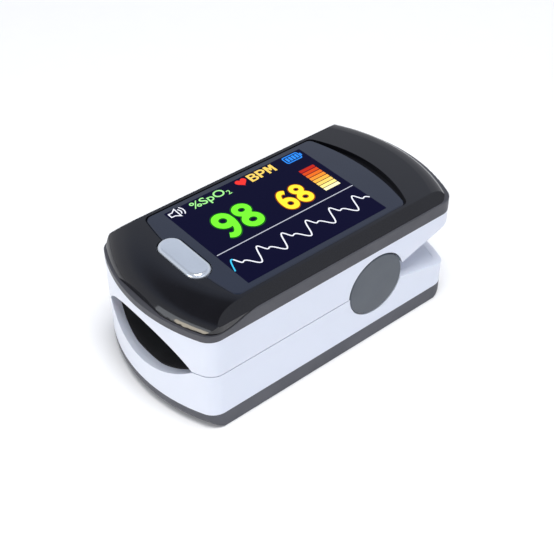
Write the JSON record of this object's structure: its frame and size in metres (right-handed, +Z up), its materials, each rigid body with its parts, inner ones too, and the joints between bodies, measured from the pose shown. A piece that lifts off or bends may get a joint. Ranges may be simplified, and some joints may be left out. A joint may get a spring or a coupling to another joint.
{
  "type": "fingertip pulse oximeter",
  "caption": "Sprung clip that closes on a fingertip, with a colour display on its sloping black cover, a power button, grey side caps and a soft black finger trough.",
  "frame": {"origin": "middle of the flat underside", "axes": "+X to the rear pinch end, -X to the finger opening, +Y to the far side, +Z up through the display"},
  "size_m": [0.062, 0.0308, 0.0254],
  "materials": {
    "white_shell": "satin gloss, cool white",
    "grey_base": "fine matte",
    "grey_ring": "fine matte",
    "grey_cap": "smooth matte",
    "black_cover": "high gloss",
    "tinted_window": "high gloss, tinted",
    "silver_button": "pearl silver",
    "black_silicone": "soft matte",
    "tray_plastic": "moulded",
    "clear_window": "clear",
    "circuit_board": "solder mask",
    "chip_black": "moulded epoxy",
    "switch_nylon": "moulded",
    "steel_wire": "bright",
    "screw_steel": "zinc plated",
    "cell_pouch": "foil pouch",
    "flex_film": "polyimide film",
    "panel_glass": "display glass"
  },
  "bodies": {
    "lower_half": {"base_cover": "grey_base", "base_screws": "screw_steel", "lower_shell": "white_shell", "lower_tray": "tray_plastic", "lower_finger_pad": "black_silicone", "sensor_window": "clear_window", "photodiode_board": "circuit_board", "photodiode": "chip_black", "battery_cell": "cell_pouch", "charger_board": "circuit_board", "usb_socket": "steel_wire", "hinge_cap_left": "grey_cap", "hinge_cap_right": "grey_cap", "hinge_pin": "steel_wire", "torsion_spring_left": "steel_wire", "torsion_spring_right": "steel_wire", "flex_cable": "flex_film"},
    "upper_half": {"upper_shell": "white_shell", "upper_tray": "tray_plastic", "upper_finger_pad": "black_silicone", "emitter_window": "clear_window", "led_board": "circuit_board", "led_emitter": "chip_black", "bezel_ring": "grey_ring", "top_cover": "black_cover", "display_window": "tinted_window", "display_panel": "panel_glass", "display_frame": "tray_plastic", "main_board": "circuit_board", "board_chips": "chip_black", "buzzer": "chip_black", "switch_body": "chip_black", "board_screws": "screw_steel"},
    "power_button": {"power_button": "silver_button", "switch_plunger": "switch_nylon"}
  },
  "joints": [
    {"name": "clip_hinge", "type": "hinge", "parent": "lower_half", "child": "upper_half", "pos_m": [0.0091, 0, 0.0126], "axis": [0, 1, 0], "range_deg": [0, 24], "stiffness_Nm_per_rad": 0.06, "springref_deg": -28.65, "deforming": ["torsion_spring_left", "torsion_spring_right", "flex_cable"]},
    {"name": "button_press", "type": "slide", "parent": "upper_half", "child": "power_button", "axis": [0, 0, -1], "range_m": [0, 0.0004], "stiffness_N_per_m": 1000, "springref_m": -0.0005}
  ]
}
